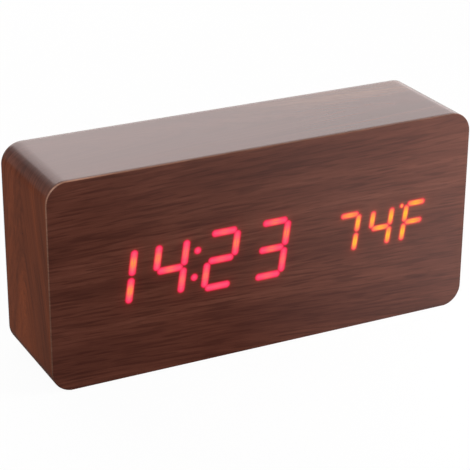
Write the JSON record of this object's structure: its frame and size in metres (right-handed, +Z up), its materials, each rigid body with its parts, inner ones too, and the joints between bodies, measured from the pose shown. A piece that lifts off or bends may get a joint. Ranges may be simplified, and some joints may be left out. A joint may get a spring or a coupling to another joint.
{
  "type": "wooden digital alarm clock",
  "caption": "Box-shaped alarm clock in dark wood veneer: lit time and temperature digits shine through the front; rear plate with buttons, power socket and hinged battery lid.",
  "frame": {"origin": "centre of the flat underside", "axes": "+X to the right seen from the front, +Y to the back, +Z up; the digits face -Y"},
  "size_m": [0.15, 0.039, 0.07],
  "materials": {
    "walnut_veneer": "satin",
    "fibreboard": "matte",
    "light_guide": "satin",
    "circuit_board": "satin",
    "steel": "satin",
    "contact_metal": "satin",
    "component_plastic": "satin",
    "capacitor_sleeve": "gloss",
    "white_plastic": "satin",
    "ribbon_cable": "satin",
    "housing_plastic": "matte",
    "button_plastic": "satin",
    "cell_wrap": "satin"
  },
  "bodies": {
    "case": {"wrap_veneer": "walnut_veneer", "front_veneer": "walnut_veneer", "rear_veneer": "walnut_veneer", "case_frame": "fibreboard", "front_panel": "fibreboard", "rear_panel": "fibreboard", "hour_tens_light_guide": "light_guide", "hour_ones_light_guide": "light_guide", "colon_light_guide": "light_guide", "minute_tens_light_guide": "light_guide", "minute_ones_light_guide": "light_guide", "temperature_tens_light_guide": "light_guide", "temperature_ones_light_guide": "light_guide", "unit_light_guide": "light_guide", "display_board": "circuit_board", "key_board": "circuit_board", "display_screw_1": "steel", "display_screw_2": "steel", "display_screw_3": "steel", "display_screw_4": "steel", "rear_screw_1": "steel", "rear_screw_2": "steel", "rear_screw_3": "steel", "rear_screw_4": "steel", "key_board_screw_1": "steel", "key_board_screw_2": "steel", "rtc_crystal": "steel", "sound_sensor": "steel", "power_socket_pin": "steel", "contact_positive": "contact_metal", "contact_left_bridge": "contact_metal", "contact_negative": "contact_metal", "contact_right_upper_bridge": "contact_metal", "contact_right_lower_bridge": "contact_metal", "control_chip": "component_plastic", "buzzer": "component_plastic", "set_switch": "component_plastic", "up_switch": "component_plastic", "down_switch": "component_plastic", "power_socket": "component_plastic", "temperature_sensor": "component_plastic", "filter_capacitor": "capacitor_sleeve", "display_connector": "white_plastic", "key_connector": "white_plastic", "ribbon_lead": "ribbon_cable", "rear_housing": "housing_plastic", "battery_1": "cell_wrap", "battery_2": "cell_wrap", "battery_3": "cell_wrap", "battery_4": "cell_wrap"},
    "battery_door": {"battery_door": "housing_plastic"},
    "set_button": {"set_button": "button_plastic", "set_switch_plunger": "white_plastic"},
    "up_button": {"up_button": "button_plastic", "up_switch_plunger": "white_plastic"},
    "down_button": {"down_button": "button_plastic", "down_switch_plunger": "white_plastic"}
  },
  "joints": [
    {"name": "battery_door_hinge", "type": "hinge", "parent": "case", "child": "battery_door", "pos_m": [0.04385, 0.0183, 0.035], "axis": [0, 0, -1], "range_deg": [0, 100]},
    {"name": "set_press", "type": "slide", "parent": "case", "child": "set_button", "axis": [0, -1, 0], "range_m": [0, 0.0005], "stiffness_N_per_m": 3000},
    {"name": "up_press", "type": "slide", "parent": "case", "child": "up_button", "axis": [0, -1, 0], "range_m": [0, 0.0005], "stiffness_N_per_m": 3000},
    {"name": "down_press", "type": "slide", "parent": "case", "child": "down_button", "axis": [0, -1, 0], "range_m": [0, 0.0005], "stiffness_N_per_m": 3000}
  ]
}
